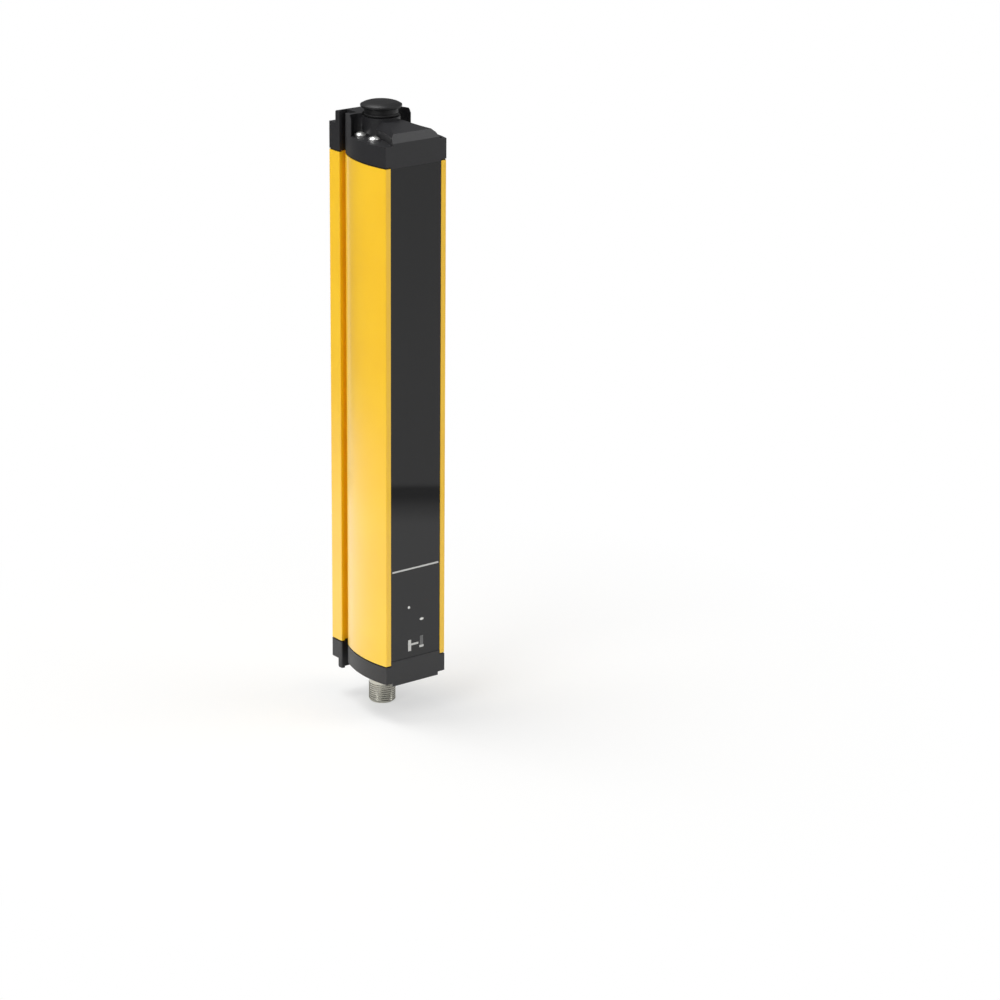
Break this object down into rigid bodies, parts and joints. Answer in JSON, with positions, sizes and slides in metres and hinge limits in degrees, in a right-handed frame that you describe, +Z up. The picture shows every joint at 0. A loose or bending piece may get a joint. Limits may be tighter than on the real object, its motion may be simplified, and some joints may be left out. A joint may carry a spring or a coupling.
{
  "type": "safety light curtain",
  "caption": "Upright bar of a safety light curtain: yellow extruded housing, dark front window, T-slotted sides, screwed end caps, a round plug on top and a round connector below.",
  "frame": {"origin": "centre of the bounding box's underside, at the level of the connector's lower end", "axes": "+X to the right across the front window, +Y from the window to the rear face, +Z up along the bar"},
  "size_m": [0.0346, 0.046, 0.2727],
  "materials": {
    "yellow_powder_coat": "semi-gloss powder coat on extruded aluminium",
    "window_acrylic": "dark, polished, passes infrared",
    "cap_plastic": "moulded, fine grain",
    "seal_rubber": "matt",
    "foam_rubber": "closed-cell foam",
    "screw_steel": "bright zinc plate",
    "nickel_plated_brass": "nickel plated",
    "gold_plated_brass": "gold plated",
    "insert_plastic": "moulded",
    "circuit_board": "solder mask",
    "carrier_plastic": "moulded, light-absorbing",
    "lens_acrylic": "clear, polished",
    "emitter_epoxy": "tinted epoxy",
    "led_resin": "diffusing resin",
    "light_guide_acrylic": "clear, polished",
    "chip_epoxy": "moulded epoxy",
    "ferrite": "pressed ferrite",
    "capacitor_can": "drawn can"
  },
  "bodies": {
    "root": {"board_header_plug": "insert_plastic", "board_header_socket": "insert_plastic", "bottom_cap": "cap_plastic", "bottom_cap_gasket": "seal_rubber", "bottom_cap_screw_1": "screw_steel", "bottom_cap_screw_2": "screw_steel", "bottom_cap_screw_3": "screw_steel", "bottom_cap_screw_4": "screw_steel", "carrier_pad_bottom": "foam_rubber", "carrier_pad_top": "foam_rubber", "connector_board": "circuit_board", "connector_contact_1": "gold_plated_brass", "connector_contact_2": "gold_plated_brass", "connector_contact_3": "gold_plated_brass", "connector_contact_4": "gold_plated_brass", "connector_contact_5": "gold_plated_brass", "connector_insert": "insert_plastic", "connector_o_ring": "seal_rubber", "connector_retaining_ring": "nickel_plated_brass", "connector_shell": "nickel_plated_brass", "control_board": "circuit_board", "controller_chip": "chip_epoxy", "edge_socket": "insert_plastic", "emitter_board": "circuit_board", "front_window": "window_acrylic", "housing_profile": "yellow_powder_coat", "ir_emitter_1": "emitter_epoxy", "ir_emitter_2": "emitter_epoxy", "ir_emitter_3": "emitter_epoxy", "ir_emitter_4": "emitter_epoxy", "ir_emitter_5": "emitter_epoxy", "ir_emitter_6": "emitter_epoxy", "ir_emitter_7": "emitter_epoxy", "ir_emitter_8": "emitter_epoxy", "lens_strip": "lens_acrylic", "light_guide_1": "light_guide_acrylic", "light_guide_2": "light_guide_acrylic", "optics_carrier": "carrier_plastic", "power_capacitor": "capacitor_can", "power_inductor": "ferrite", "status_led_1": "led_resin", "status_led_2": "led_resin", "top_cap": "cap_plastic", "top_cap_gasket": "seal_rubber", "top_cap_screw_1": "screw_steel", "top_cap_screw_2": "screw_steel", "top_cap_screw_3": "screw_steel", "top_cap_screw_4": "screw_steel", "top_plug": "cap_plastic", "top_plug_o_ring": "seal_rubber", "window_gasket_left": "seal_rubber", "window_gasket_right": "seal_rubber"}
  },
  "joints": []
}
